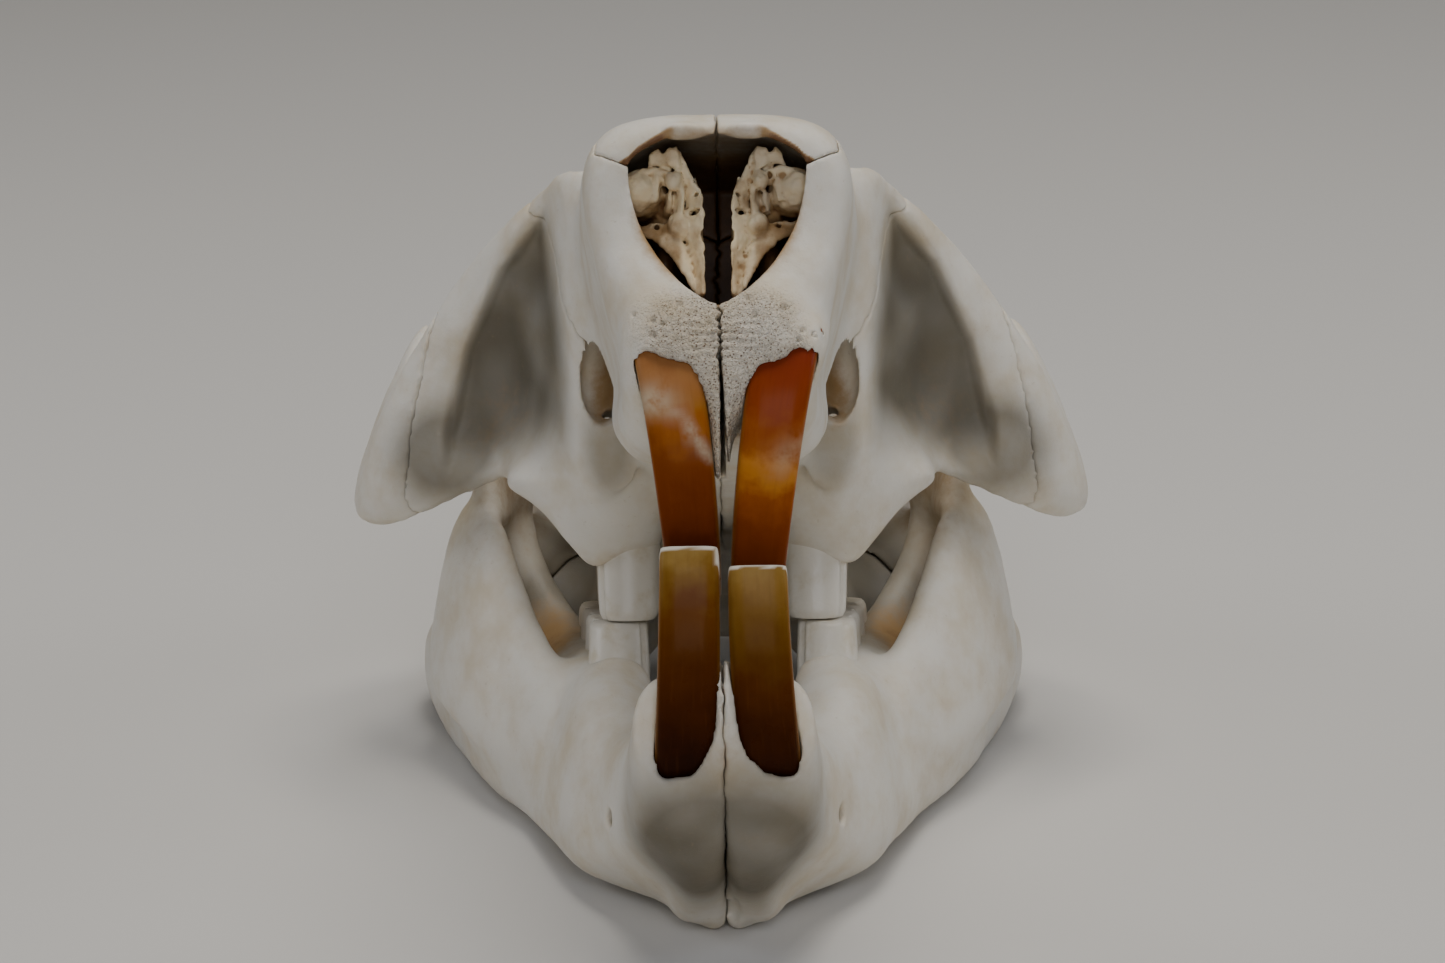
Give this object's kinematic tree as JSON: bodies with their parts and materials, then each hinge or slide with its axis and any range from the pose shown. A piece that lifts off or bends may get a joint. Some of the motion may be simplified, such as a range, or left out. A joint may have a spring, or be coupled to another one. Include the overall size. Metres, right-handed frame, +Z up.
{
  "type": "beaver skull",
  "caption": "Life-size beaver skull with its lower jaw, nose raised, with orange chisel incisors, an open nose with scroll bones and wide cheek arches.",
  "frame": {"origin": "centre of the footprint's bounding box, on the surface that the skull stands on", "axes": "+Y from the incisors towards the back of the skull, +X towards the animal's left, +Z up"},
  "size_m": [0.1019, 0.1385, 0.1044],
  "materials": {
    "bone": "matte, dry bone",
    "scroll_bone": "matte, thin tan bone",
    "upper_enamel": "glossy orange to red-brown enamel",
    "lower_enamel": "glossy ochre to brown enamel"
  },
  "bodies": {
    "root": {"nasal_left": "bone", "nasal_right": "bone", "premaxilla_left": "bone", "premaxilla_right": "bone", "frontal_left": "bone", "frontal_right": "bone", "jugal_left": "bone", "jugal_right": "bone", "maxilla_left": "bone", "maxilla_right": "bone", "ear_capsule_left": "bone", "ear_capsule_right": "bone", "dentary_left": "bone", "dentary_right": "bone", "braincase": "bone", "occipital": "bone", "turbinate_left": "scroll_bone", "turbinate_right": "scroll_bone", "upper_incisor_left": "upper_enamel", "upper_incisor_right": "upper_enamel", "lower_incisor_left": "lower_enamel", "lower_incisor_right": "lower_enamel"}
  },
  "joints": []
}
